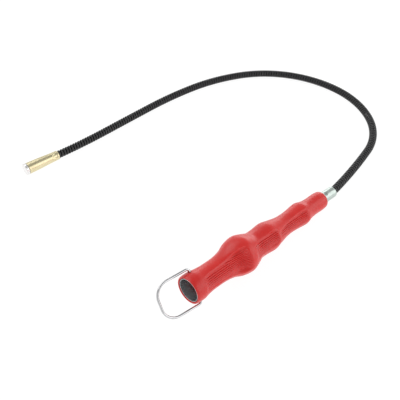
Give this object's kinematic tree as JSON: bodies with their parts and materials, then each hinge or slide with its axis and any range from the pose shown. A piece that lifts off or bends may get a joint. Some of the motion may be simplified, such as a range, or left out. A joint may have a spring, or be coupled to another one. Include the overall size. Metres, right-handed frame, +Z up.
{
  "type": "flexible magnetic pick-up tool",
  "caption": "Flexible magnetic pick-up reacher: a contoured red grip with a wire hang loop, a black self-holding gooseneck and a brass tip with a magnet.",
  "frame": {"origin": "middle of the footprint, on the surface that the tool lies on", "axes": "+X the way the grip points from its rear mouth to its nose, seen from above; +Y to the left of that, towards the curl; +Z up"},
  "size_m": [0.2512, 0.1772, 0.0252],
  "materials": {
    "red_grip": "moulded red plastic, satin gloss",
    "liner_steel": "drawn steel, dull",
    "bail_chrome": "bright plated wire",
    "ferrule_nickel": "nickel plated, crimped",
    "coil_black": "black oxide spring wire",
    "core_steel": "bright spring wire",
    "tip_brass": "turned brass, lightly polished",
    "magnet_nickel": "nickel plated, bright"
  },
  "bodies": {
    "handle": {"grip": "red_grip", "mouth_liner": "liner_steel", "ferrule": "ferrule_nickel", "neck_coil_1": "coil_black", "neck_core_1": "core_steel"},
    "bail": {"bail": "bail_chrome"},
    "neck_2": {"neck_coil_2": "coil_black", "neck_core_2": "core_steel"},
    "neck_3": {"neck_coil_3": "coil_black", "neck_core_3": "core_steel"},
    "neck_4": {"neck_coil_4": "coil_black", "neck_core_4": "core_steel"},
    "neck_5": {"neck_coil_5": "coil_black", "neck_core_5": "core_steel"},
    "neck_6": {"neck_coil_6": "coil_black", "neck_core_6": "core_steel"},
    "neck_7": {"neck_coil_7": "coil_black", "neck_core_7": "core_steel"},
    "neck_8": {"neck_coil_8": "coil_black", "neck_core_8": "core_steel"},
    "neck_9": {"neck_coil_9": "coil_black", "neck_core_9": "core_steel", "tip_barrel": "tip_brass", "magnet": "magnet_nickel"}
  },
  "joints": [
    {"name": "bail_swing", "type": "hinge", "parent": "handle", "child": "bail", "pos_m": [-0.10177, -0.07658, 0.01522], "axis": [0.0684, 0.5592, 0.8262], "range_deg": [-140.4, 159.6]},
    {"name": "neck_turn_1", "type": "hinge", "parent": "handle", "child": "neck_2", "pos_m": [0.0655, -0.06945, 0.00289], "axis": [0.0105, 0.0022, 0.9999], "range_deg": [-35, 15]},
    {"name": "neck_lift_2", "type": "hinge", "parent": "neck_2", "child": "neck_3", "pos_m": [0.10469, -0.05173, 0.00286], "axis": [0.7063, -0.708, 0], "range_deg": [0, 35]},
    {"name": "neck_turn_3", "type": "hinge", "parent": "neck_3", "child": "neck_4", "pos_m": [0.12265, -0.01273, 0.00286], "axis": [0, 0, 1], "range_deg": [-35, 15]},
    {"name": "neck_turn_4", "type": "hinge", "parent": "neck_4", "child": "neck_5", "pos_m": [0.11429, 0.02968, 0.00286], "axis": [0, 0, 1], "range_deg": [-35, 15]},
    {"name": "neck_lift_5", "type": "hinge", "parent": "neck_5", "child": "neck_6", "pos_m": [0.08515, 0.0616, 0.00286], "axis": [0.5256, 0.8507, 0], "range_deg": [0, 35]},
    {"name": "neck_turn_6", "type": "hinge", "parent": "neck_6", "child": "neck_7", "pos_m": [0.0444, 0.07699, 0.00286], "axis": [0, 0, 1], "range_deg": [-35, 15]},
    {"name": "neck_lift_7", "type": "hinge", "parent": "neck_7", "child": "neck_8", "pos_m": [0.00088, 0.08122, 0.00286], "axis": [0.0145, 0.9999, 0], "range_deg": [0, 35]},
    {"name": "neck_turn_8", "type": "hinge", "parent": "neck_8", "child": "neck_9", "pos_m": [-0.0429, 0.08105, 0.00325], "axis": [0.0148, 0.0003, 0.9999], "range_deg": [-35, 15]}
  ]
}
